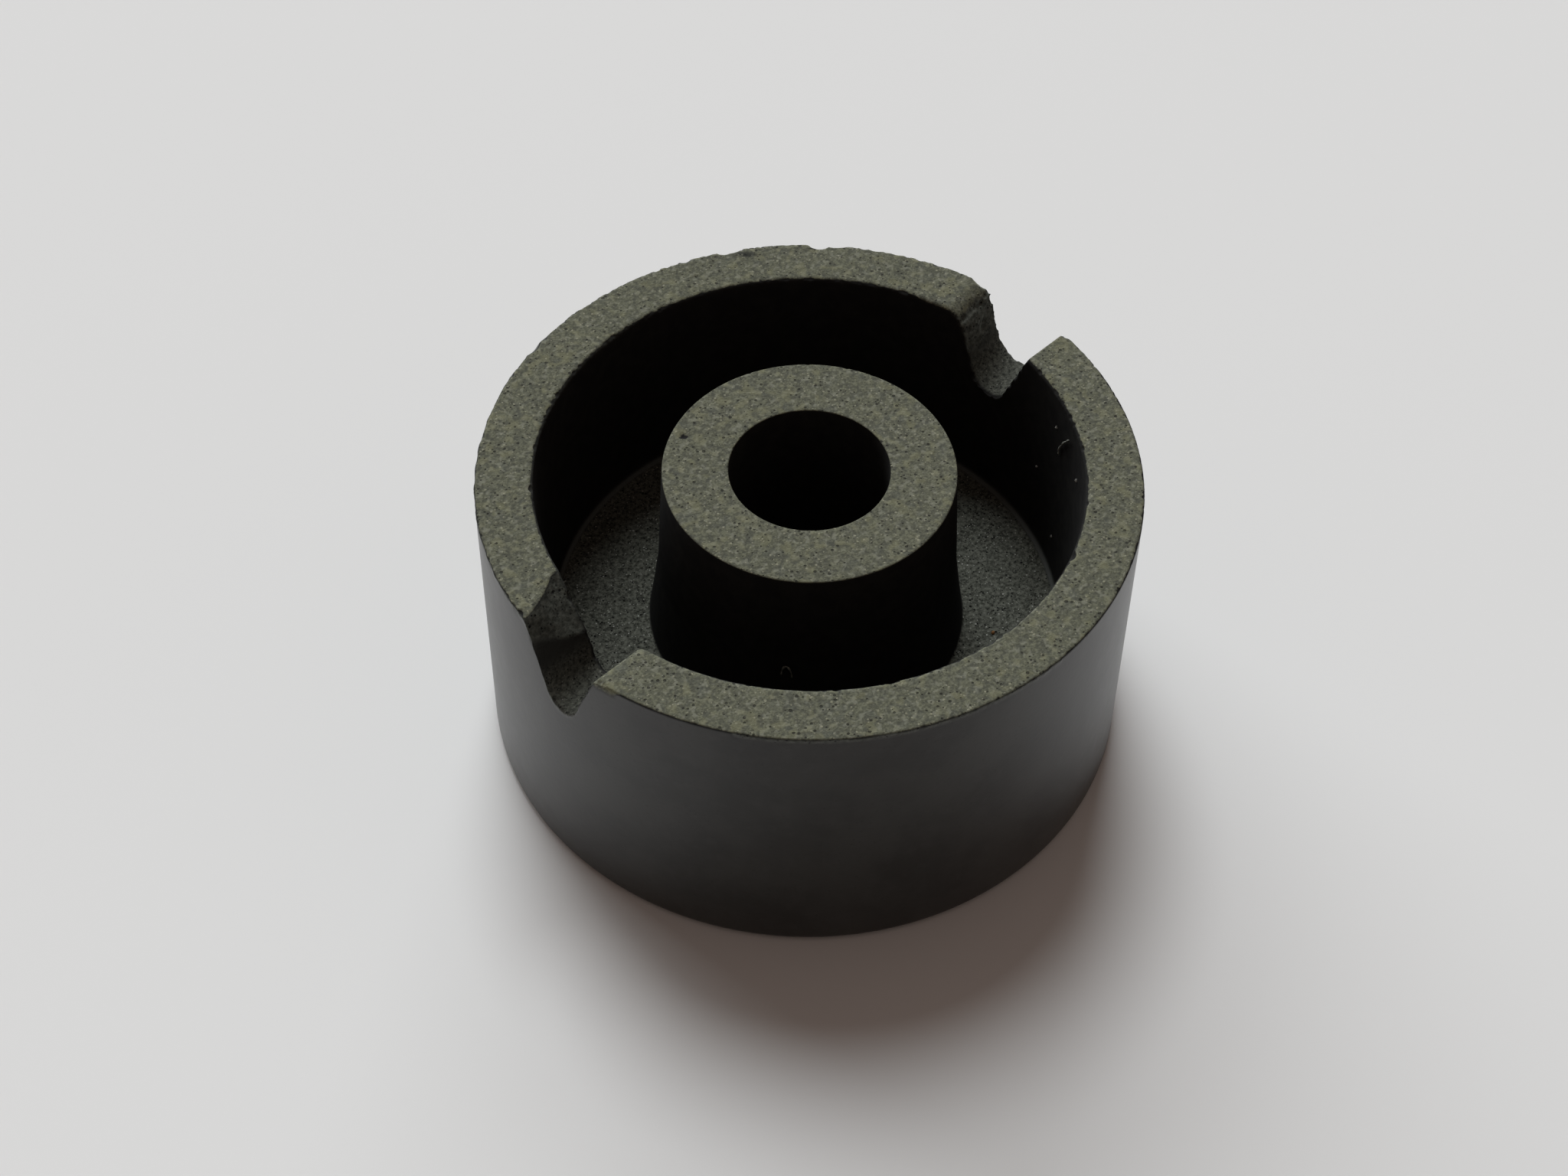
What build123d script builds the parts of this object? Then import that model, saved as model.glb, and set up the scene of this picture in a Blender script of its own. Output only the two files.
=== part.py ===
"""Ferrite pot core half: a pressed and sintered round cup with a hollow centre post and two wire notches.

The cup stands on its closed base with the ground mating side up. The origin is the centre of the base, +Z runs
up the bore, and the two wire notches lie on the X axis. The notch at +X has a broken flank on its +Y side.
All lengths are millimetres.
"""
from build123d import *
import os
from math import asin, atan2, cos, hypot, radians, sin, tan

# Outer cup
rim_diameter = 22.0
wall_flare = 0.22            # how much the base radius exceeds the rim radius
height = 11.15
base_edge_round = 0.35
rim_outer_break = 0.13       # small bevel left where the wall meets the ground mating face

# Winding chamber
rim_wall = 1.9
chamber_draft = 0.22         # radius lost between the chamber's mouth and its floor
floor_thickness = 3.95
floor_corner_round = 0.3
rim_inner_break = 0.15

# Centre post
post_diameter = 9.75
post_draft = 0.24            # radius gained from the post's face down to the top of its foot
foot_flare = 0.38            # further radius gained over the foot
foot_height = 2.8
foot_corner_bevel = 0.12     # in the corner between the foot and the chamber floor
waist_round = 2.8            # soft bend where the post runs into its foot
post_edge_break = 0.07

# Bore
bore_diameter = 5.35
bore_edge_break = 0.05

# Wire notches, V-shaped with a round root, cut through the wall only
notch_width = 3.2
notch_depth = 2.88
notch_root_radius = 0.7

# Broken flank of the +X notch
break_width = 0.75           # how far the break opens the flank just outside the wall
break_round = 0.55           # slumped corner between the mating face and the broken flank
corner_chip_radius = 1.6     # scoop where that corner meets the outer rim edge
corner_chip_bite = 0.3
corner_chip_azimuth = 9.5

# Nicks in the outer rim edge: the largest one, and the place and size of each
nick_radius = 0.48
nick_bite = 0.305
nick_azimuths = (19.3, 43.3, 61.2, 68.9)
nick_size_shares = (0.35, 1.0, 0.75, 0.55)

# How far every cut runs past the face that it opens
overrun = 1.0

rim_radius = rim_diameter / 2
base_radius = rim_radius + wall_flare
mouth_radius = rim_radius - rim_wall
floor_radius = mouth_radius - chamber_draft
post_radius = post_diameter / 2
waist_radius = post_radius + post_draft
foot_radius = waist_radius + foot_flare
bore_radius = bore_diameter / 2


def cup():
    """The turned form: half of the section revolved about the bore axis.

    The pressed corners are rounded, apart from the small one at the post's foot, which is bevelled, as the edges
    of the ground mating face are.
    """
    bore_foot = (bore_radius, 0)
    base_edge = (base_radius, 0)
    rim_outer = (rim_radius, height)
    rim_inner = (mouth_radius, height)
    floor_corner = (floor_radius, floor_thickness)
    foot_corner = (foot_radius, floor_thickness)
    waist = (waist_radius, floor_thickness + foot_height)
    post_edge = (post_radius, height)
    bore_mouth = (bore_radius, height)
    section = make_face(Polyline(bore_foot, base_edge, rim_outer, rim_inner, floor_corner, foot_corner, waist,
                                 post_edge, bore_mouth, close=True))
    rounds = ((base_edge, base_edge_round), (floor_corner, floor_corner_round), (waist, waist_round))
    bevels = ((foot_corner, foot_corner_bevel), (rim_outer, rim_outer_break), (rim_inner, rim_inner_break),
              (post_edge, post_edge_break), (bore_mouth, bore_edge_break))
    for corner, radius in rounds:
        section = fillet(section.vertices().sort_by_distance(corner)[0], radius)
    for corner, length in bevels:
        section = chamfer(section.vertices().sort_by_distance(corner)[0], length)
    return revolve(Plane.XZ * section, Axis.Z)


def across_wall(outline, distance):
    """Face of a closed outline on the upright plane that crosses the X axis at a distance from the bore.

    The outline is drawn with Y to the right and the mating face at zero height.
    """
    station = Plane(origin=(distance, 0, height), x_dir=(0, 1, 0), z_dir=(1, 0, 0))
    return station * make_face(Curve() + outline)


def notch_lines(opening):
    """Flank slope from upright, and the three root points of a notch whose +Y flank is set back by an opening."""
    half_width = notch_width / 2
    centre_depth = notch_depth - notch_root_radius
    slope = atan2(half_width, centre_depth) - asin(notch_root_radius / hypot(half_width, centre_depth))
    root_x = notch_root_radius * cos(slope)
    root_z = -centre_depth - notch_root_radius * sin(slope)
    return slope, (-root_x, root_z), (opening / 2, -notch_depth), (root_x + opening, root_z)


def whole_notch():
    """An intact wire notch: its V outline driven outwards from the middle of the chamber."""
    slope, left, bottom, right = notch_lines(0)
    top = notch_width / 2 + overrun * tan(slope)
    outline = [Line((-top, overrun), left), ThreePointArc(left, bottom, right), Line(right, (top, overrun)),
               Line((top, overrun), (-top, overrun))]
    start = (foot_radius + floor_radius) / 2
    return extrude(across_wall(outline, start), base_radius + overrun - start)


def broken_section(distance, opening):
    """The broken notch at one distance from the bore: its +Y flank set back, with the top corner slumped."""
    slope, left, bottom, right = notch_lines(opening)
    top = notch_width / 2 + overrun * tan(slope)
    edge = notch_width / 2 + opening
    half_turn = (radians(90) - slope) / 2
    tangent = break_round * tan(half_turn)
    shoulder = (edge - tangent * sin(slope), -tangent * cos(slope))
    crest = (edge + tangent, 0)
    middle = (crest[0] - break_round * sin(half_turn), break_round * (cos(half_turn) - 1))
    above_crest = (crest[0], overrun)
    outline = [Line((-top, overrun), left), ThreePointArc(left, bottom, right), Line(right, shoulder),
               ThreePointArc(shoulder, middle, crest), Line(crest, above_crest), Line(above_crest, (-top, overrun))]
    return across_wall(outline, distance)


def broken_notch():
    """The +X wire notch: its +Y flank is broken back, from nothing in the chamber to the full width outside."""
    inside = broken_section((foot_radius + floor_radius) / 2, 0)
    at_wall = broken_section(floor_radius - break_round, 0)
    outside = broken_section(base_radius + overrun, break_width)
    return loft([inside, at_wall], ruled=True) + loft([at_wall, outside], ruled=True)


def rim_bite(azimuth, radius, bite):
    """A round bite out of the outer rim edge, its centre up and out from the edge at 45 degrees."""
    stand_off = (radius - bite) / 2 ** 0.5
    return (Pos(rim_radius + stand_off, 0, height + stand_off) * Sphere(radius)).rotate(Axis.Z, azimuth)


def pot_core_half():
    """The cup with its notches, broken flank and rim nicks cut away."""
    core = cup()
    core -= whole_notch().rotate(Axis.Z, 180)
    core -= broken_notch()
    core -= rim_bite(corner_chip_azimuth, corner_chip_radius, corner_chip_bite)
    for azimuth, share in zip(nick_azimuths, nick_size_shares):
        core -= rim_bite(azimuth, nick_radius * share, nick_bite * share)
    return core


if __name__ == "__main__":
    os.makedirs("parts", exist_ok=True)
    export_step(pot_core_half(), "parts/pot_core_half.step")
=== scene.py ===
"""Looks of a ferrite pot core half that stands on a pale floor.

A fine mesh of the pressed cup replaces its solid. It has the same section and wire notches, with the crumbled
rim edges, nicks, pits and broken flank of the real one. Sizes are millimetres unless a name says otherwise.
"""
from math import asin, atan2, cos, hypot, pi, radians, sin, tan

import bpy
import numpy as np
from mathutils import Matrix, Vector, noise


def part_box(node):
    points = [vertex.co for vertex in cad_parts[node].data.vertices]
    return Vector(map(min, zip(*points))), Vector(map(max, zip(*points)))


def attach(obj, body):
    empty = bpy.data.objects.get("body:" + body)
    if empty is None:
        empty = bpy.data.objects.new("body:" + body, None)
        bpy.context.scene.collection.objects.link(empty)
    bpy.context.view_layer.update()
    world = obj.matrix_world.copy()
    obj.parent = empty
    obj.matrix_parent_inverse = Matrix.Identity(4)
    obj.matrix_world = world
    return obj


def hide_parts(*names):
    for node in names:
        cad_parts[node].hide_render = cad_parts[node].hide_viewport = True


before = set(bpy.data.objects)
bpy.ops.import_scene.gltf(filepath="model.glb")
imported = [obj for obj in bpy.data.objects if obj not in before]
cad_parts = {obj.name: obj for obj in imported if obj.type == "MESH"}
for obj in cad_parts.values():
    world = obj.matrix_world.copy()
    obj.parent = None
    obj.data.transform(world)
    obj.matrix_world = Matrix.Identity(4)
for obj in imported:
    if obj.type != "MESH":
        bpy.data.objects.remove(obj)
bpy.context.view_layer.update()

MM = 0.001
NODE = "pot_core_half"

# Pressed form: the sizes of the solid that it replaces, with rounds for its bevels and a worn outer edge
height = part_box(NODE)[1].z / MM
rim_radius = 11.0
wall_flare = 0.22
base_radius = rim_radius + wall_flare
base_edge_round = 0.35
rim_outer_round = 0.18       # on the side that is worn the most
worn_side = 44.0             # azimuth of that side
least_wear = 0.25            # share of the wear that the opposite side has
mouth_radius = 9.1
chamber_draft = 0.22
floor_radius = mouth_radius - chamber_draft
floor_level = 3.95
floor_corner_round = 0.3
rim_inner_round = 0.15
post_radius = 4.875
post_edge_round = 0.07
waist_radius = 5.115
waist_level = 6.75
waist_round = 2.8
foot_radius = 5.495
foot_corner_round = 0.12
bore_radius = 2.675
bore_edge_round = 0.05

# Wire notches on the X axis
notch_width = 3.2
notch_depth = 2.88
notch_root_radius = 0.7
notch_corner_wear = 0.06
notch_sharpness = 0.75       # how much of the rim's edge rounding is missing along the notches
sharpening_depths = (0.1, 0.5)

# Break in the +Y flank of the +X notch, with a bulge left at some depth below the mating face
break_inset = 0.55
break_overrun = 1.0
break_start = floor_radius - break_inset
break_end = base_radius + break_overrun
break_width = 0.75
break_round = 0.70
break_bulge = 0.15
break_bulge_start = 0.4
break_bulge_depth = 0.75
break_bulge_reach = 0.5

# Roughness of the torn faces: depth, size and shift of each kind of lump, and then the pits
torn_lumps = ((0.09, 0.6, 5.3), (0.03, 0.24, 9.1), (0.012, 0.13, 2.7))
least_torn = 0.02
break_pits = 60
pit_seed = 11
pit_zone = 0.7
pit_ball_least = 0.08
pit_ball_range = 0.12
pit_stand_off = 0.72         # share of the ball's radius

# Corners of the -X notch: the +Y one is broken off, ever wider and flatter towards the chamber, and the
# -Y one is worn
chip_width_outside = 0.10
chip_width_inside = 0.85
chip_fall_outside = 2.1
chip_fall_inside = 1.07
chip_curve = 1.8             # how late the chip widens on its way inwards
chip_roughness = 0.5
chip_fracture = 0.8
worn_corner = 0.28

# Bites out of the ground faces: azimuth, distance from the axis, lean, ball radius and depth below the sharp
# edge. A lean of 45 degrees looks up and out from a rim edge, 90 straight up, 135 up and in.
bite_reach = 1.5             # how far below the mating face any bite or crumb can reach
bites = (
    (9.5, rim_radius, 45, 1.6, 0.3),
    (-8.4, rim_radius, 45, 0.5, 0.17),
    (19.3, rim_radius, 45, 0.17, 0.11),
    (28.6, rim_radius, 45, 1.2, 0.105),
    (32.6, rim_radius, 45, 0.9, 0.12),
    (40.4, rim_radius, 45, 1.5, 0.16),
    (43.3, rim_radius, 45, 0.48, 0.305),
    (59.9, rim_radius, 45, 0.9, 0.175),
    (61.2, rim_radius, 45, 0.36, 0.23),
    (68.9, rim_radius, 45, 0.27, 0.17),
    (104.9, rim_radius, 45, 1.0, 0.14),
    (68.7, 10.01, 90, 0.1, 0.05),
    (129.6, mouth_radius, 135, 0.22, 0.11),
    (141.2, mouth_radius, 135, 0.25, 0.13),
    (-68.2, mouth_radius, 135, 0.35, 0.15),
    (116.3, 4.43, 90, 0.2, 0.09),
)

# Small random chips along the ground edges: distance from the axis, lean, how many, largest ball, and the
# least and most depth
crumbled_edges = (
    (rim_radius, 45, 200, 0.40, 0.075, 0.14),
    (mouth_radius, 135, 70, 0.36, 0.06, 0.12),
    (post_radius, 45, 60, 0.3, 0.028, 0.055),
    (bore_radius, 135, 30, 0.25, 0.02, 0.04),
)
crumb_seed = 7
crumb_tilt_range = 30
crumb_least_share = 0.25     # smallest ball, as a share of the largest one
crumb_rarity = 1.5           # the higher, the rarer large crumbs are

# Fine raggedness of the rim's two ground edges: the size of its lumps, how deep it goes and how far it
# reaches. It comes in patches.
fray_size = 0.17
fray_depth = 0.08
fray_reach = 0.16
fray_fine_share = 0.5
fray_patch_size = 1.3
fray_patch_mean = 0.6
fray_patch_swing = 1.6
fray_patch_most = 1.5
fray_shifts = (3.1, 8.7, 6.4)
fray_slope = 0.7             # share of the wear that goes down, and that goes into the wall

# Small random chips along the edges of the notches: how many on each edge, the largest ball, and how they vary
notch_crumbs = 40
notch_crumb_ball = 0.26
notch_crumb_least = 0.45     # smallest ball, as a share of the largest one
notch_crumb_range = 0.55
notch_crumb_lift = 0.85      # most stand-off of a ball's centre, as a share of its radius
notch_crumb_lift_range = 0.3
notch_crumb_span = 1.25      # stretch that they cover, as a share of the notch's width
notch_crumb_lean = 0.5
notch_crumb_seed = 5
notch_crumb_margin = 1.0

# Marks on the ground faces: azimuth, distance from the axis, half length along the rim, half width across it
smudges = (
    (58.3, 10.68, 0.30, 0.14),
    (57.0, 10.56, 0.40, 0.20),
    (116.3, 4.43, 0.12, 0.12),
    (44.4, 10.70, 0.30, 0.06),
)
scuffs = (
    (14.3, 10.72, 0.06, 0.17),
    (129.6, 9.22, 0.16, 0.10),
    (141.2, 9.22, 0.16, 0.10),
    (22.6, 10.34, 0.05, 0.14),
)
mark_reach = 0.5             # how far below the mating face a mark still shows

# Dust that clings to the chamber. A strand has a distance from the axis, a thickness, and the azimuths and
# heights that it runs through on a wall. A grain has one place and a size.
strands = (
    (8.99, 0.045, ((-31.7, 10.48), (-30.1, 10.15), (-28.6, 9.80), (-27.7, 9.50), (-27.0, 9.20),
                   (-27.6, 9.08))),
    (5.12, 0.040, ((-144.6, 6.55), (-144.4, 6.85), (-143.4, 7.08), (-142.0, 7.06), (-140.9, 6.80),
                   (-140.4, 6.45))),
)
strand_sides = 8
strand_steps = 40
strand_smoothings = 2
strand_twists = 3
strand_thinnest = 0.35
strand_swell = 0.65
strand_taper = 12
strand_tip = 0.1
pale_grains = ((-19.1, 8.98, 7.15, 0.05), (-30.7, 8.92, 5.40, 0.045), (-24.1, 9.06, 9.87, 0.05),
               (-39.0, 9.06, 9.69, 0.06))
brown_grains = ((-54.2, 6.62, floor_level, 0.07),)
grain_lumpiness = 0.5
grain_lump_size = 0.9

# Mesh columns round the rim, and how much closer they stand at the notches. A wall has all of them near the
# rim only.
columns = 1400
notch_crowding = 2.0
notch_half_angle = 14.0
notch_fade_angle = 4
angle_samples = 40001
all_columns_above = 0.85
half_columns_above = 0.65

# Mesh rows: in an arc, along each run of the section, and over the rim, where the walls' rows crowd together
arc_rows = 5
bore_rows = 6
post_face_rows = 18
post_rows = 6
foot_rows = 4
floor_rows = 5
chamber_rows = 12
rim_top_rows = 26
outside_rows = 18
underside_rows = 4
base_rows = 5
rim_row_crowding = 2.2

# Zones of the core: the two ends of each fade, as distances from the axis, heights, places across a notch, or
# depths below the mating face or below the rim's own top surface
wall_inner_ends = (mouth_radius - 0.05, mouth_radius + 0.1)
wall_outer_ends = (rim_radius - 0.15, rim_radius - 0.02)
foot_side_ends = (foot_radius - 0.02, foot_radius + 0.06)
floor_top_ends = (floor_level + 0.02, floor_level + 0.25)
corner_side_ends = (floor_radius - 0.2, floor_radius - 0.12)
corner_top_ends = (floor_level + 0.12, floor_level + 0.22)
underside_limit = 1
top_ends = (0.08, 0.25)
outside_ends = (0.03, 0.15)
flank_near_ends = (0.75, 1.1)
flank_far_ends = (2.9, 3.3)
worn_near_ends = (1.1, 1.3)
worn_far_ends = (2.2, 2.6)
notch_ends = (0.05, 0.25)
root_ends = (1.5, 2.4)
fracture_ends = (0.0, 0.15)
torn_ends = (0.05, 0.6)
break_foot_ends = (1.3, 2.1)
chip_top_ends = (0.0, 0.1)
chip_foot_ends = (1.7, 1.9)
chip_side_ends = (0.0, 0.12)

# Fade of the ground finish below the mating face: its length on a sharp edge, what it gains on the two worn
# ones, and its two ends as shares of that length
ground_fade = 0.05
shoulder_fade = 0.5
worn_edge_fade = 0.45
ground_ends = (-1.0, -0.2)

# Colours of the ferrite: pressed walls, satin outside, chamber floor, torn faces and ground faces
# Pressed walls inside the cup: painted shade, darker than the same ferrite outside, with a random mottle
# between the two
wall_painted_shade_dark = (0.015, 0.015, 0.015)
wall_painted_shade_light = (0.021, 0.021, 0.020)
# Corner round of the chamber floor: lighter, a painted highlight
corner_painted_highlight = (0.110, 0.118, 0.110)
wall_notch = (0.036, 0.038, 0.033)
skin_dark = (0.018, 0.018, 0.017)
skin_light = (0.028, 0.028, 0.026)
skin_mottle = (0.036, 0.036, 0.034)
skin_pore = (0.010, 0.010, 0.010)
bed_dark = (0.014, 0.015, 0.012)
bed_light = (0.162, 0.168, 0.140)
bed_pit = (0.005, 0.005, 0.005)
# Light specks on the chamber floor: painted glints. They are also smoother, so they catch the lamps as well
bed_painted_glint = (0.340, 0.346, 0.310)
torn_dark = (0.044, 0.048, 0.041)
torn_light = (0.118, 0.126, 0.108)
torn_pore = (0.007, 0.007, 0.007)
face_dark = (0.085, 0.087, 0.063)
face_light = (0.157, 0.161, 0.114)
face_mottle = (0.094, 0.100, 0.088)
face_shade = (0.056, 0.058, 0.049)
face_bloom = (0.215, 0.218, 0.172)
face_granule = (0.172, 0.170, 0.103)
face_fleck = (0.270, 0.262, 0.185)
face_pore = (0.018, 0.018, 0.016)
face_scuff = (0.210, 0.208, 0.160)
face_smudge = (0.012, 0.013, 0.015)
speck_edge = 0.12            # softness of a speck's edge

# Colours of the dust, darkest and lightest, and of the floor
lint_colours = ((0.12, 0.13, 0.11), (0.26, 0.27, 0.24))
pale_dust_colours = ((0.18, 0.18, 0.16), (0.34, 0.34, 0.31))
brown_dust_colours = ((0.12, 0.05, 0.015), (0.3, 0.14, 0.04))
paper_colour = (0.765, 0.765, 0.760, 1.0)
floor_half_width = 2000

# View of the photograph, about the bore axis: the broken notch lies at this azimuth there
notch_azimuth_in_view = 45.9
camera_distance = 86.83
camera_elevation = 52.39
aim_yaw = 0.546
aim_pitch = 2.101
aim_roll = -1.410
image_width_pixels = 2048
focal_pixels = 3103.4
sensor_width = 36.0
nearest_seen = 2.0

# Light, in the same view: 90 is straight behind the part. The upper and the lower half of a tall window, each
# with its azimuth, elevation, spread and strength, and the even warm light that the room throws back.
window_halves = (("window_upper", 102.0, 61.0, 24.0, 1.57), ("window_lower", 110.0, 18.0, 63.0, 3.20))
window_light = (0.94, 0.98, 1.0)
room_light = (1.0, 0.78, 0.68)
room_strength = 0.165


def smooth_step(values, start, end):
    """0 before start and 1 after end, with a smooth rise between."""
    share = np.clip((values - start) / (end - start), 0.0, 1.0)
    return share * share * (3 - 2 * share)


def rim_wear(angle):
    """Wear of the rim's outer edge at an angle: 1 on the worst side, and the least on the opposite one."""
    return least_wear + (1 - least_wear) * (1 + np.cos(angle - radians(worn_side))) / 2


def notch_profile(y, opening):
    """Depth of a wire notch, its +Y flank set back by an opening, and the slope of its flanks from upright.

    The depth is negative beyond the notch.
    """
    half_width = notch_width / 2
    centre_depth = notch_depth - notch_root_radius
    slope = atan2(half_width, centre_depth) - asin(notch_root_radius / hypot(half_width, centre_depth))
    root_y = notch_root_radius * cos(slope)
    root_depth = centre_depth + notch_root_radius * sin(slope)
    half_chord = root_y + opening / 2
    sag = notch_depth - root_depth
    arc_radius = (half_chord ** 2 + sag ** 2) / (2 * sag)
    root = notch_depth - arc_radius + np.sqrt(np.maximum(arc_radius ** 2 - (y - opening / 2) ** 2, 0))
    left = root_depth - (-root_y - y) / tan(slope)
    right = root_depth - (y - root_y - opening) / tan(slope)
    depth = np.where(y < -root_y, left, np.where(y > root_y + opening, right, root))
    return depth, slope


def worn(depth, wear=notch_corner_wear):
    """A notch depth with its sharp corner at the mating face worn round."""
    return (depth + np.sqrt(depth ** 2 + wear ** 2)) / 2


def chip_profile(x, y):
    """Depth of the face that is left where the +Y corner of the -X notch broke off. Negative beyond it."""
    inward = np.clip((rim_radius + x) / (rim_radius - mouth_radius), 0, 1)
    widening = (chip_width_inside - chip_width_outside) * inward ** chip_curve
    edge = notch_width / 2 + chip_width_outside + widening
    fall = chip_fall_outside + (chip_fall_inside - chip_fall_outside) * inward
    return np.where(y > notch_width / 4, fall * (edge - y), -height)


def chipped_profile(x, y):
    """Depth of the -X notch, with its chipped and its worn corner."""
    depth = notch_profile(y, np.zeros_like(y))[0]
    return worn(np.maximum(depth, chip_profile(x, y)), np.where(y > 0, notch_corner_wear, worn_corner))


def broken_profile(x, y):
    """Depth of the broken notch: its +Y flank opens outwards, and its top corner has slumped."""
    opening = break_width * np.clip((x - break_start) / (break_end - break_start), 0, None)
    depth, slope = notch_profile(y, opening)
    bulge = break_bulge * np.exp(-((depth - break_bulge_depth) / break_bulge_reach) ** 2) * (y > 0)
    bulge = bulge * smooth_step(depth, break_bulge_start, break_bulge_depth)
    depth = notch_profile(y + bulge * opening / break_width, opening)[0]
    half_turn = (radians(90) - slope) / 2
    tangent = break_round * tan(half_turn)
    crest_y = notch_width / 2 + opening + tangent
    shoulder_y = crest_y - tangent - tangent * sin(slope)
    reach = np.clip(crest_y - y, 0, break_round)
    slump = break_round - np.sqrt(break_round ** 2 - reach ** 2)
    return np.where(y > shoulder_y, slump, worn(depth))


def crest(x, y):
    """Height of the rim's top surface, notches included."""
    return height - np.where(x > 0, broken_profile(x, y), chipped_profile(x, y))


def column_angles():
    """Angles of the mesh columns, crowded together at the two notches."""
    fine = np.linspace(0, 2 * pi, angle_samples)
    off_axis = np.degrees(np.abs(np.arctan2(np.sin(fine), np.abs(np.cos(fine)))))
    beyond = smooth_step(off_axis, notch_half_angle, notch_half_angle + notch_fade_angle)
    density = 1 + (notch_crowding - 1) * (1 - beyond)
    share = np.concatenate([[0], np.cumsum((density[1:] + density[:-1]) / 2)])
    return np.interp(np.arange(columns) / columns, share / share[-1], fine)


def rounded_path(corners, runs):
    """Section points along straight runs, with an arc at each rounded corner.

    A corner is (radius, height, round), and the runs give the rows between corners.
    """
    points = [np.array(corners[0][:2])]
    for i, rows in enumerate(runs):
        here = np.array(corners[i + 1][:2])
        arrive = (here - np.array(corners[i][:2])) / hypot(*(here - np.array(corners[i][:2])))
        if i + 2 == len(corners):
            points += list(np.linspace(points[-1], here, rows + 1)[1:])
            break
        leave = np.array(corners[i + 2][:2]) - here
        leave = leave / hypot(*leave)
        cross = arrive[0] * leave[1] - arrive[1] * leave[0]
        turn = atan2(cross, arrive @ leave)
        radius = corners[i + 1][2]
        begin = here - arrive * radius * tan(abs(turn) / 2)
        side = np.array([-arrive[1], arrive[0]]) * np.sign(turn)
        centre = begin + side * radius
        points += list(np.linspace(points[-1], begin, rows + 1)[1:])
        for part in np.linspace(0, turn, arc_rows + 1)[1:]:
            spoke = -side * radius
            points.append(centre + np.array([spoke[0] * cos(part) - spoke[1] * sin(part),
                                             spoke[0] * sin(part) + spoke[1] * cos(part)]))
    return points


def chamber_wall(z):
    """Radius of the chamber's outer wall at a height."""
    return mouth_radius - chamber_draft * (height - z) / (height - floor_level)


def outer_wall(z):
    """Radius of the cup's outside at a height."""
    return rim_radius + wall_flare * (height - z) / height


def ring(angles, radius, z):
    """One mesh row: a closed ring of points around the bore axis."""
    radius, z = np.broadcast_to(radius, angles.shape), np.broadcast_to(z, angles.shape)
    return np.stack([radius * np.cos(angles), radius * np.sin(angles), z], axis=1)


def thinned(row, nearness):
    """A wall row with all its columns close to the rim, half of them further off, and a quarter beyond."""
    if nearness > all_columns_above:
        return row
    return row[::2] if nearness > half_columns_above else row[::4]


def rim_rows(angles, start_level, end_level):
    """Rows up the chamber wall, over the rim and its notches, and down the outside."""
    def crest_at(radius):
        return crest(radius * np.cos(angles), radius * np.sin(angles))

    def roundness(radius):
        return 1 - notch_sharpness * smooth_step(height - crest_at(radius), *sharpening_depths)

    rows = []
    inner_round = rim_inner_round * roundness(mouth_radius)
    outer_round = rim_outer_round * roundness(rim_radius)
    outer_round = outer_round * rim_wear(angles)
    inner_top = crest_at(mouth_radius) - inner_round
    outer_top = crest_at(rim_radius) - outer_round
    for share in np.linspace(0, 1, chamber_rows + 1)[1:]:
        z = start_level + (inner_top - start_level) * (1 - (1 - share) ** rim_row_crowding)
        rows.append(thinned(ring(angles, chamber_wall(z), z), share))
    inner_edge = chamber_wall(inner_top)
    outer_edge = outer_wall(outer_top) - outer_round
    for turn in np.linspace(0, pi / 2, arc_rows + 1)[1:]:
        radius = inner_edge + inner_round * (1 - cos(turn))
        rows.append(ring(angles, radius, crest_at(radius) - inner_round * (1 - sin(turn))))
    for share in np.linspace(0, 1, rim_top_rows + 1)[1:]:
        radius = inner_edge + inner_round + (outer_edge - inner_edge - inner_round) * share
        rows.append(ring(angles, radius, crest_at(radius)))
    for turn in np.linspace(0, pi / 2, arc_rows + 1)[1:]:
        radius = outer_edge + outer_round * sin(turn)
        rows.append(ring(angles, radius, crest_at(radius) - outer_round * (1 - cos(turn))))
    for share in np.linspace(0, 1, outside_rows + 1)[1:]:
        z = outer_top + (end_level - outer_top) * share ** rim_row_crowding
        rows.append(thinned(ring(angles, outer_wall(z), z), 1 - share))
    return rows


def stitch(first, second):
    """Faces between two neighbouring rows of vertex numbers. One may hold twice as many as the other."""
    if len(first) == len(second):
        return np.stack([first, second, np.roll(second, -1), np.roll(first, -1)], axis=1).tolist()
    if len(first) < len(second):
        even, odd = second[::2], second[1::2]
        after, even_after = np.roll(first, -1), np.roll(even, -1)
        return np.concatenate([np.stack(t, axis=1) for t in
                               ((first, even, odd), (first, odd, after), (after, odd, even_after))]).tolist()
    even, odd = first[::2], first[1::2]
    after, even_after = np.roll(second, -1), np.roll(even, -1)
    return np.concatenate([np.stack(t, axis=1) for t in
                           ((even, second, odd), (odd, second, after), (odd, after, even_after))]).tolist()


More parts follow.
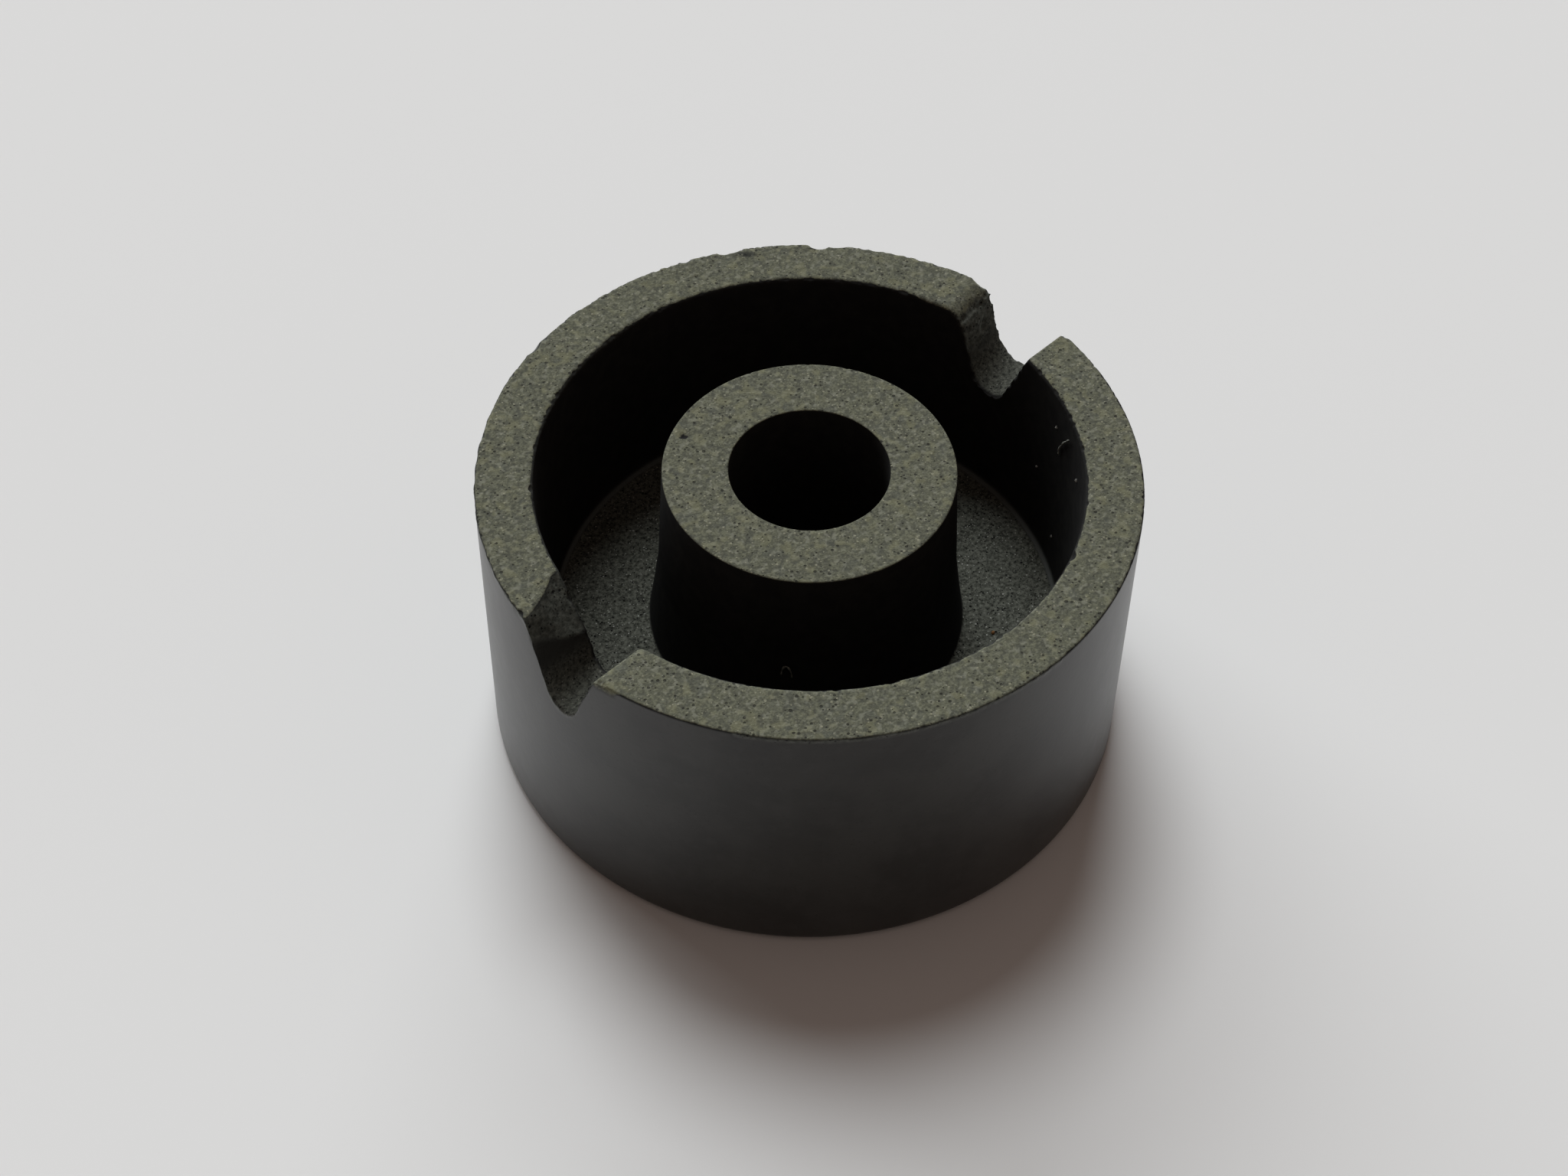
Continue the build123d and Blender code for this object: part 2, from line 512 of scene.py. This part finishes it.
def cup_grid():
    """Points and faces of the whole closed form: bore, post, chamber, rim, outside and base, row by row."""
    angles = column_angles()
    coarse = angles[::4]
    middle = (foot_radius + floor_radius) / 2
    inside = rounded_path(((bore_radius, 0, 0), (bore_radius, height, bore_edge_round),
                           (post_radius, height, post_edge_round), (waist_radius, waist_level, waist_round),
                           (foot_radius, floor_level, foot_corner_round), (middle, floor_level, 0)),
                          (bore_rows, post_face_rows, post_rows, foot_rows, floor_rows))
    chamber = rounded_path(((middle, floor_level, 0), (floor_radius, floor_level, floor_corner_round),
                            (mouth_radius, height, 0)), (floor_rows, 1))[1:-1]
    edge = rounded_path(((rim_radius, height, 0), (base_radius, 0, base_edge_round), (middle, 0, 0)),
                        (1, underside_rows))[1:]
    base = np.linspace((middle, 0), (bore_radius, 0), base_rows + 1)[1:-1]
    rows = [ring(coarse, *point) for point in inside]
    rows += [ring(coarse, *point) for point in chamber]
    rows += rim_rows(angles, chamber[-1][1], edge[0][1])
    rows += [ring(coarse, *point) for point in edge[1:]]
    rows += [ring(coarse, *point) for point in base]
    starts = np.cumsum([0] + [len(row) for row in rows])
    numbers = [np.arange(starts[i], starts[i + 1]) for i in range(len(rows))]
    faces = []
    for i, row in enumerate(numbers):
        faces += stitch(row, numbers[(i + 1) % len(numbers)])
    return np.concatenate(rows), faces


class Zones:
    """How much each point of the unworn form belongs to each zone of the core, from 0 to 1."""

    def __init__(self, points):
        x, y, z = points.T
        radius = np.hypot(x, y)
        depth = height - z
        in_wall = smooth_step(radius, *wall_inner_ends)
        out_wall = smooth_step(radius, *wall_outer_ends)
        over_floor = smooth_step(radius, *foot_side_ends) * (radius < mouth_radius)
        below_top = crest(x, y) - z
        on_top = in_wall * (1 - smooth_step(below_top, *top_ends))
        flank = (x > 0) * on_top * smooth_step(y, *flank_near_ends) * (1 - smooth_step(y, *flank_far_ends))
        self.outside = out_wall * smooth_step(below_top, *outside_ends)
        self.floor = over_floor * (1 - smooth_step(z, *floor_top_ends)) * (z > underside_limit)
        # Corner round of the chamber floor, which carries a painted highlight
        corner_side = smooth_step(radius, *corner_side_ends) * (radius < mouth_radius)
        self.corner = corner_side * (1 - smooth_step(z, *corner_top_ends)) * (z > underside_limit)
        self.notch = on_top * smooth_step(depth, *notch_ends)
        self.shoulder = flank
        worn_side_of_notch = smooth_step(-y, *worn_near_ends) * (1 - smooth_step(-y, *worn_far_ends))
        self.worn_edge = (x < 0) * in_wall * worn_side_of_notch
        above_foot = 1 - smooth_step(depth, *break_foot_ends)
        self.fracture = flank * smooth_step(depth, *fracture_ends) * above_foot
        self.torn = flank * smooth_step(depth, *torn_ends) * above_foot
        broken_off = chip_profile(x, y) - notch_profile(y, np.zeros_like(y))[0]
        in_reach = smooth_step(depth, *chip_top_ends) * (1 - smooth_step(depth, *chip_foot_ends))
        self.chip = (x < 0) * on_top * in_reach * smooth_step(broken_off, *chip_side_ends)
        self.root = self.notch * smooth_step(depth, *root_ends)


def push_out(points, centre, ball):
    """Moves each point inside a ball to the ball's surface, which leaves a bite in the material."""
    spoke = points - centre
    distance = np.linalg.norm(spoke, axis=1)
    inside = distance < ball
    points[inside] = centre + spoke[inside] * (ball / distance[inside])[:, None]


def crumbs():
    """Small chips at random places along the ground edges, in the form of the bites."""
    dice = np.random.default_rng(crumb_seed)
    chips = []
    for radius, lean, count, ball, least, most in crumbled_edges:
        for _ in range(count):
            azimuth = 360 * dice.random()
            tilt = lean + crumb_tilt_range * (dice.random() - 0.5)
            size = ball * (crumb_least_share + (1 - crumb_least_share) * dice.random() ** crumb_rarity)
            depth = least + (most - least) * dice.random() ** crumb_rarity
            wear = rim_wear(radians(azimuth)) if lean < 90 else 1
            chips.append((azimuth, radius, tilt, size, depth * wear))
    return chips


def crumble_notches(points):
    """Small chips at random places along the outer and the inner edges of both notches."""
    dice = np.random.default_rng(notch_crumb_seed)
    step = 0.01
    lowest = height - notch_depth - notch_crumb_margin
    near = (np.abs(points[:, 1]) < notch_width) & (points[:, 2] > lowest)
    edges = points[near]
    for side in (1, -1):
        for wall, way in ((outer_wall, 1), (chamber_wall, -1)):
            for _ in range(notch_crumbs):
                y = notch_crumb_span * notch_width * (dice.random() - 0.5)
                z = crest(side * wall(height), y)
                x = side * (wall(z) ** 2 - y ** 2) ** 0.5
                rise = (crest(x, y + step) - crest(x, y - step)) / (2 * step)
                sideways = Vector((way * x, way * y, 0)).normalized()
                away = notch_crumb_lean * sideways + Vector((0, -rise, 1)).normalized()
                ball = notch_crumb_ball * (notch_crumb_least + notch_crumb_range * dice.random())
                stand_off = ball * (notch_crumb_lift - notch_crumb_lift_range * dice.random())
                push_out(edges, np.array((x, y, z)) + np.array(away.normalized()) * stand_off, ball)
    points[near] = edges


def bite_out(points):
    """Bites and crumbs, taken out of the top of the form."""
    near = points[:, 2] > height - bite_reach
    top = points[near]
    for azimuth, radius, lean, ball, depth in list(bites) + crumbs():
        stand_off = ball - depth
        out = radius + stand_off * cos(radians(lean))
        push_out(top, np.array([out * cos(radians(azimuth)), out * sin(radians(azimuth)),
                                height + stand_off * sin(radians(lean))]), ball)
    points[near] = top


def lumps(points, size, shift):
    """Noise from -1 to 1 at each point, with lumps of about the given size."""
    return np.array([noise.noise(Vector(point) / size + Vector((shift, shift, shift))) for point in points])


def fray(points):
    """Wears the rim's two ground edges back by noise, down and into the wall."""
    radius = np.hypot(points[:, 0], points[:, 1])
    wear = rim_wear(np.arctan2(points[:, 1], points[:, 0]))
    coarse_shift, fine_shift, patch_shift = fray_shifts
    for edge, way in ((rim_radius, -1), (mouth_radius, 1)):
        distance = np.hypot(radius - edge, points[:, 2] - height)
        near = np.flatnonzero(distance < 2 * fray_reach)
        coarse = lumps(points[near], fray_size, coarse_shift)
        fine = fray_fine_share * lumps(points[near], fray_size / 2, fine_shift)
        worn_back = np.maximum(coarse + fine, 0)
        patches = fray_patch_mean + fray_patch_swing * lumps(points[near], fray_patch_size, patch_shift)
        here = np.clip(patches, 0, fray_patch_most)
        push = fray_depth * here * wear[near] * worn_back * np.exp(-(distance[near] / fray_reach) ** 2)
        points[near, :2] += points[near, :2] / radius[near, None] * (way * fray_slope * push)[:, None]
        points[near, 2] -= fray_slope * push


def tear(points, normals, fracture):
    """Roughens the broken flank with lumps and random pits."""
    torn = np.flatnonzero(fracture > least_torn)
    near, facing = points[torn], normals[torn]
    rough = sum(depth * lumps(near, size, shift) for depth, size, shift in torn_lumps)
    near -= facing * (fracture[torn] * rough)[:, None]
    dice = np.random.default_rng(pit_seed)
    deep = np.flatnonzero(fracture[torn] > pit_zone)
    for i in dice.choice(deep, break_pits):
        ball = pit_ball_least + pit_ball_range * dice.random()
        push_out(near, near[i] + facing[i] * ball * pit_stand_off, ball)
    points[torn] = near


def marked(points, marks):
    """How much each point lies on one of some soft oval marks on the ground faces."""
    x, y, z = points.T
    azimuth, radius = np.degrees(np.arctan2(y, x)), np.hypot(x, y)
    shade = np.zeros(len(points))
    for place, distance, half_length, half_width in marks:
        along = np.radians((azimuth - place + 180) % 360 - 180) * distance / half_length
        shade = np.maximum(shade, np.exp(-along ** 2 - ((radius - distance) / half_width) ** 2))
    return shade * (z > height - mark_reach)


def new_object(name, points, faces, material):
    """Links a smooth mesh object, its points in millimetres."""
    mesh = bpy.data.meshes.new(name)
    mesh.from_pydata((np.asarray(points) * MM).tolist(), [], faces)
    mesh.materials.append(material)
    mesh.shade_smooth()
    made = bpy.data.objects.new(name, mesh)
    bpy.context.scene.collection.objects.link(made)
    return made


def make_core():
    """The worn core as one mesh, with its zones and marks kept as named attributes for its finish."""
    points, faces = cup_grid()
    zones = Zones(points)
    core = new_object("ferrite_core", points, faces, sintered_ferrite())
    normals = np.empty(len(points) * 3)
    core.data.vertex_normals.foreach_get("vector", normals)
    bite_out(points)
    fray(points)
    crumble_notches(points)
    tear(points, normals.reshape(-1, 3), np.maximum(zones.torn, chip_roughness * zones.chip))
    core.data.vertices.foreach_set("co", (points * MM).ravel())
    fade = ground_fade + shoulder_fade * zones.shoulder + worn_edge_fade * zones.worn_edge
    marks = {"ground": smooth_step((points[:, 2] - height) / fade, *ground_ends),
             "floor": zones.floor * (1 - zones.corner), "corner": zones.corner,
             "notch": zones.notch, "root": zones.root, "outside": zones.outside,
             "fracture": np.maximum(zones.fracture, chip_fracture * zones.chip),
             "smudge": marked(points, smudges), "scuff": marked(points, scuffs)}
    for name, values in marks.items():
        attribute = core.data.attributes.new(name, "FLOAT", "POINT")
        attribute.data.foreach_set("value", values.astype(np.float32))
    core.data.update()
    return core


def wall_point(azimuth, radius, z):
    """A point by its azimuth in degrees, distance from the axis and height."""
    return np.array([radius * cos(radians(azimuth)), radius * sin(radians(azimuth)), z])


def strand_mesh(radius, thickness, places):
    """A tapered fibre through places on a wall."""
    sides, steps = strand_sides, strand_steps
    route = np.array(places)
    for _ in range(strand_smoothings):
        knots = np.arange(len(route))
        dense = np.linspace(0, len(route) - 1, 2 * len(route))
        route = np.stack([np.interp(dense, knots, route[:, k]) for k in (0, 1)], axis=1)
        route[1:-1] = (route[:-2] + 2 * route[1:-1] + route[2:]) / 4
    at = np.linspace(0, len(route) - 1, steps)
    line = np.stack([np.interp(at, np.arange(len(route)), route[:, k]) for k in (0, 1)], axis=1)
    spine = np.array([wall_point(azimuth, radius, z) for azimuth, z in line])
    points = []
    for i, centre in enumerate(spine):
        ahead = Vector(spine[min(i + 1, steps - 1)] - spine[max(i - 1, 0)]).normalized()
        across = ahead.orthogonal().normalized()
        up = ahead.cross(across)
        share = i / (steps - 1)
        twist = strand_thinnest + strand_swell * abs(cos(strand_twists * pi * share))
        taper = min(1, strand_taper * share + strand_tip, strand_taper * (1 - share) + strand_tip)
        girth = thickness * twist * taper
        for side in range(sides):
            turn = 2 * pi * side / sides
            points.append(centre + girth * np.array(across * cos(turn) + up * sin(turn)))
    faces = [(i * sides + side, i * sides + (side + 1) % sides, (i + 1) * sides + (side + 1) % sides,
              (i + 1) * sides + side) for i in range(steps - 1) for side in range(sides)]
    faces += [tuple(range(sides))[::-1], tuple(range((steps - 1) * sides, steps * sides))]
    return np.array(points), faces


class Field:
    """A shader socket. Sums on it add Math nodes to its material."""

    def __init__(self, look, socket):
        self.look = look
        self.socket = socket

    def math(self, operation, *values):
        return self.look.node("ShaderNodeMath", dict(enumerate(values)), operation=operation)

    def __add__(self, other):
        return self.math("ADD", self, other)

    def __radd__(self, other):
        return self.math("ADD", other, self)

    def __sub__(self, other):
        return self.math("SUBTRACT", self, other)

    def __rsub__(self, other):
        return self.math("SUBTRACT", other, self)

    def __mul__(self, other):
        return self.math("MULTIPLY", self, other)

    def __rmul__(self, other):
        return self.math("MULTIPLY", other, self)

    def step(self, start, end):
        """0 at start and 1 at end, with a smooth rise between. Start may be the larger one."""
        return self.look.node("ShaderNodeMapRange", {"Value": self, "From Min": start, "From Max": end},
                              interpolation_type="SMOOTHSTEP")


class Look:
    """One procedural material."""

    def __init__(self, name):
        self.material = bpy.data.materials.new(name)
        self.material.use_nodes = True
        self.tree = self.material.node_tree
        self.tree.nodes.clear()

    def node(self, kind, sockets=None, output=0, **settings):
        """Adds a node: its settings first, then the values or links of its sockets. Returns one output."""
        node = self.tree.nodes.new(kind)
        for name, value in settings.items():
            setattr(node, name, value)
        for name, value in (sockets or {}).items():
            if isinstance(value, Field):
                self.tree.links.new(value.socket, node.inputs[name])
            else:
                node.inputs[name].default_value = value
        return Field(self, node.outputs[output]) if node.outputs else node

    def place_in_mm(self):
        """The point on the object, in millimetres."""
        place = self.node("ShaderNodeTexCoord", output="Object")
        return self.node("ShaderNodeVectorMath", {0: place, "Scale": 1 / MM}, operation="SCALE")

    def mark(self, name):
        """A zone or mark of the mesh."""
        return self.node("ShaderNodeAttribute", output="Fac", attribute_name=name)

    def clouds(self, place, size, detail=2.0):
        """Soft noise about 0.5, with lumps of about the given size."""
        return self.node("ShaderNodeTexNoise", {"Vector": place, "Scale": 1 / size, "Detail": detail})

    def specks(self, place, spacing, share):
        """Round specks of random size, 1 inside them. The share says how large and how common they are."""
        cells = {"Vector": place, "Scale": 1 / spacing}
        distance = self.node("ShaderNodeTexVoronoi", cells, output="Distance")
        luck = self.node("ShaderNodeTexVoronoi", cells, output="Color")
        return (luck - distance + (share - 1)).step(0.0, speck_edge)

    def blend(self, share, first, second):
        """A colour between two, which go to the Mix node's own colour sockets, numbers 6 and 7."""
        def colour(value):
            return value if isinstance(value, Field) else (*value, 1.0)

        return self.node("ShaderNodeMix", {0: share, 6: colour(first), 7: colour(second)}, output=2,
                         data_type="RGBA")

    def surface(self, **sockets):
        """Ends the material in a Principled shader."""
        values = {name.replace("_", " ").title().replace("Ior", "IOR"): value
                  for name, value in sockets.items()}
        shader = self.node("ShaderNodeBsdfPrincipled", values)
        self.node("ShaderNodeOutputMaterial", {"Surface": shader})
        return self.material


def sintered_ferrite():
    """Satin outside, matt pressed walls that are painted darker inside as shade, a floor with painted glints,
    a painted highlight on the floor's corner round, and olive grain with pores on the ground faces.
    """
    look = Look("sintered_ferrite")
    place = look.place_in_mm()
    ground, floor = look.mark("ground"), look.mark("floor")
    notch, root = look.mark("notch"), look.mark("root")
    fracture, outside, corner = look.mark("fracture"), look.mark("outside"), look.mark("corner")
    smudge, scuff = look.mark("smudge"), look.mark("scuff")
    broad = look.clouds(place, 2.6, 3.0)
    mottle = look.clouds(place, 0.5, 3.0)
    rough = look.clouds(place, 0.16, 3.0)
    grain = look.clouds(place, 0.065, 1.0).step(0.25, 0.75)
    granules = look.clouds(place, 0.42, 1.0).step(0.54, 0.70)
    grit = look.clouds(place, 0.14, 2.0).step(0.28, 0.72)
    flecks = look.specks(place, 0.11, 0.54)
    pores = look.specks(place, 0.13, 0.54)
    pits = look.specks(place, 0.10, 0.58)
    # Painted glints on the floor and the notch roots, with lower roughness too
    painted_glints = look.specks(place, 0.085, 0.50) * (1 - (1 - floor) * (1 - 0.6 * root))

    # Inside walls: painted shade, darker than the skin outside
    wall = look.blend(mottle.step(0.35, 0.7), wall_painted_shade_dark, wall_painted_shade_light)
    # Painted highlight on the floor's corner round
    wall = look.blend(corner, wall, corner_painted_highlight)
    wall = look.blend(notch * 0.5, wall, wall_notch)
    skin = look.blend(broad.step(0.35, 0.65), skin_dark, skin_light)
    skin = look.blend(mottle.step(0.45, 0.75) * 0.4, skin, skin_mottle)
    skin = look.blend(pores * 0.4, skin, skin_pore)
    bed = look.blend(0.6 * grit + 0.4 * grain, bed_dark, bed_light)
    bed = look.blend(pits, bed, bed_pit)
    bed = look.blend(painted_glints, bed, bed_painted_glint)
    torn = look.blend(rough.step(0.3, 0.7), torn_dark, torn_light)
    torn = look.blend(1 - (1 - pores) * (1 - 0.8 * pits), torn, torn_pore)
    face = look.blend(grain, face_dark, face_light)
    face = look.blend(mottle.step(0.5, 0.75) * 0.5, face, face_mottle)
    face = look.blend(look.clouds(place, 0.16, 1.0).step(0.62, 0.30) * 0.6, face, face_shade)
    face = look.blend(look.clouds(place, 0.21, 1.0).step(0.52, 0.70) * 0.6, face, face_bloom)
    face = look.blend(granules * 0.5, face, face_granule)
    face = look.blend(flecks * 0.6, face, face_fleck)
    face = look.blend(pores * 0.75, face, face_pore)
    face = look.blend(scuff * 0.7, face, face_scuff)
    face = look.blend((smudge + 1.3 * rough - 0.65).step(0.2, 1.1) * 0.85, face, face_smudge)

    colour = look.blend(outside, wall, skin)
    colour = look.blend(1 - (1 - floor) * (1 - 0.65 * root), colour, bed)
    colour = look.blend(fracture, colour, torn)
    colour = look.blend((ground + 0.6 * rough - 0.3).step(0.25, 0.75), colour, face)
    gritty = 1 - (1 - ground) * (1 - floor) * (1 - fracture) * (1 - notch)
    sparkle = painted_glints + 0.6 * flecks * ground
    roughness = 0.9 - 0.56 * outside * (1 - ground) + 0.1 * mottle - 0.55 * sparkle
    relief = gritty * (0.006 * grain + 0.010 * rough - 0.02 * pores) + 0.004 * rough + 0.006 * sparkle
    bump = look.node("ShaderNodeBump", {"Height": relief, "Distance": MM, "Strength": 1.0})
    return look.surface(base_color=colour, roughness=roughness, ior=1.2, normal=bump,
                        coat_weight=0.55 * outside * (1 - ground), coat_roughness=0.36, coat_ior=1.45)


def clinging_dust(name, dark, light):
    """Dry dust, a little uneven in colour."""
    look = Look(name)
    mottle = look.clouds(look.place_in_mm(), 0.08)
    return look.surface(base_color=look.blend(mottle.step(0.3, 0.7), dark, light), roughness=0.9)


def pale_paper():
    """Plain matt white of the floor."""
    look = Look("pale_paper")
    return look.surface(base_color=paper_colour, roughness=0.9)


def make_strands(material):
    """The pale fibres on the chamber walls."""
    made = []
    for number, (radius, thickness, places) in enumerate(strands, 1):
        points, faces = strand_mesh(radius, thickness, places)
        made.append(new_object("lint_%d" % number, points, faces, material))
    return made


def make_grains(name, places, material):
    """Lumpy grains of dust, half sunk into the surface that carries them so that none floats."""
    points, faces = [], []
    for azimuth, radius, z, size in places:
        bpy.ops.mesh.primitive_ico_sphere_add(subdivisions=3, radius=1.0)
        ball = bpy.context.object
        shape = np.array([vertex.co for vertex in ball.data.vertices])
        shape = shape * (1 + grain_lumpiness * lumps(shape, grain_lump_size, azimuth))[:, None]
        first = sum(len(part) for part in points)
        points.append(wall_point(azimuth, radius, z) + size * shape)
        faces += [tuple(first + corner for corner in face.vertices) for face in ball.data.polygons]
        bpy.data.objects.remove(ball)
    return new_object(name, np.concatenate(points), faces, material)


def make_floor():
    """A wide flat floor under the part."""
    size = floor_half_width
    corners = [(-size, -size, 0), (size, -size, 0), (size, size, 0), (-size, size, 0)]
    new_object("floor", corners, [(0, 1, 2, 3)], pale_paper())


def in_view(azimuth, elevation):
    """Unit vector towards a direction in the photograph, where azimuth 90 is straight behind the part."""
    turned = radians(azimuth - notch_azimuth_in_view)
    return Vector((cos(turned) * cos(radians(elevation)), sin(turned) * cos(radians(elevation)),
                   sin(radians(elevation))))


def make_camera():
    """The camera at the photograph's place, with its small turns off the base centre."""
    toward = in_view(-90, camera_elevation)
    ahead = -toward
    right = in_view(0, 0)
    up = right.cross(ahead)
    for angle, axis in ((aim_yaw, "up"), (aim_pitch, "right"), (aim_roll, "ahead")):
        turn = Matrix.Rotation(radians(angle), 3, {"up": up, "right": right, "ahead": ahead}[axis])
        ahead, right, up = turn @ ahead, turn @ right, turn @ up
    camera = bpy.data.cameras.new("camera")
    camera.sensor_width = sensor_width
    camera.lens = sensor_width * focal_pixels / image_width_pixels
    camera.clip_start = nearest_seen * MM
    holder = bpy.data.objects.new("camera", camera)
    axes = Matrix((right, up, -ahead)).transposed().to_4x4()
    holder.matrix_world = Matrix.Translation(toward * camera_distance * MM) @ axes
    bpy.context.scene.collection.objects.link(holder)
    bpy.context.scene.camera = holder


def make_light():
    """Soft light from a tall window behind the part, and a weak warm fill."""
    for name, azimuth, elevation, spread, strength in window_halves:
        lamp = bpy.data.lights.new(name, "SUN")
        lamp.energy = strength
        lamp.angle = radians(spread)
        lamp.color = window_light
        holder = bpy.data.objects.new(name, lamp)
        holder.rotation_euler = in_view(azimuth, elevation).to_track_quat("Z", "Y").to_euler()
        bpy.context.scene.collection.objects.link(holder)
    room = bpy.data.worlds.new("room")
    room.use_nodes = True
    background = room.node_tree.nodes["Background"]
    background.inputs["Color"].default_value = (*room_light, 1.0)
    background.inputs["Strength"].default_value = room_strength
    bpy.context.scene.world = room


core = make_core()
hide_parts(NODE)
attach(core, "root")
dust = make_strands(clinging_dust("pale_lint", *lint_colours))
dust.append(make_grains("pale_grains", pale_grains, clinging_dust("pale_dust", *pale_dust_colours)))
dust.append(make_grains("brown_grain", brown_grains, clinging_dust("brown_dust", *brown_dust_colours)))
for piece in dust:
    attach(piece, "root")
make_floor()
make_camera()
make_light()
bpy.context.scene.view_settings.view_transform = "Standard"
